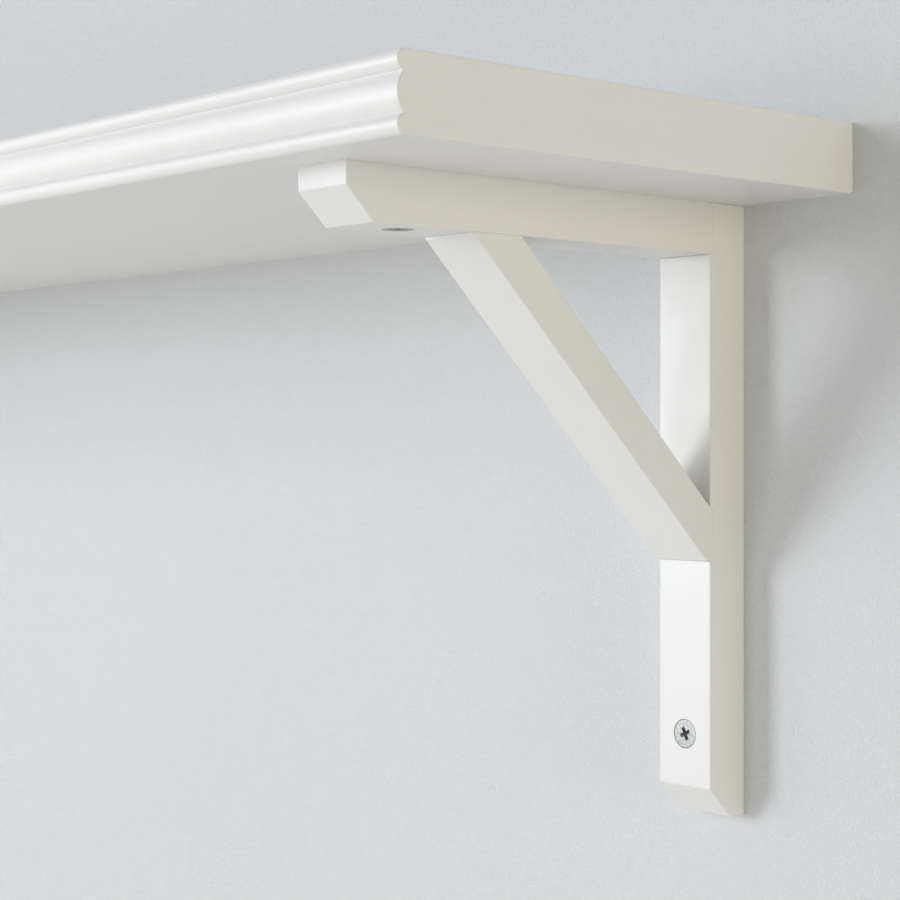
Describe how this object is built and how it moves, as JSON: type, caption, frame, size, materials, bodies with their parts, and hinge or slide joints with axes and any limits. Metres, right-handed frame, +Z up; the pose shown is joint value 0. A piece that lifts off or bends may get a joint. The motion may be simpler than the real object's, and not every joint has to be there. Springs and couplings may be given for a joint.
{
  "type": "wall shelf with brackets",
  "caption": "White painted timber wall shelf with a beaded front edge, on two diagonally braced timber brackets that screw to the wall.",
  "frame": {"origin": "centre of the board's rear face, on the wall", "axes": "+X to the right along the board, +Y into the wall, +Z up"},
  "size_m": [0.8, 0.232, 0.24],
  "materials": {
    "painted_board": "satin white paint",
    "painted_bracket": "satin white paint",
    "beech": "raw, fluted",
    "zinc_screw": "zinc-plated",
    "hanger_steel": "zinc-plated, pressed"
  },
  "bodies": {
    "root": {"shelf_board": "painted_board", "left_upright": "painted_bracket", "left_arm": "painted_bracket", "left_brace": "painted_bracket", "left_arm_dowel_outer": "beech", "left_arm_dowel_inner": "beech", "left_brace_head_dowel": "beech", "left_brace_foot_dowel": "beech", "left_shelf_screw": "zinc_screw", "left_lower_wall_screw": "zinc_screw", "left_upper_wall_screw": "zinc_screw", "left_hanger_plate": "hanger_steel", "left_hanger_screw_top": "zinc_screw", "left_hanger_screw_bottom": "zinc_screw", "right_upright": "painted_bracket", "right_arm": "painted_bracket", "right_brace": "painted_bracket", "right_arm_dowel_outer": "beech", "right_arm_dowel_inner": "beech", "right_brace_head_dowel": "beech", "right_brace_foot_dowel": "beech", "right_shelf_screw": "zinc_screw", "right_lower_wall_screw": "zinc_screw", "right_upper_wall_screw": "zinc_screw", "right_hanger_plate": "hanger_steel", "right_hanger_screw_top": "zinc_screw", "right_hanger_screw_bottom": "zinc_screw"}
  },
  "joints": []
}
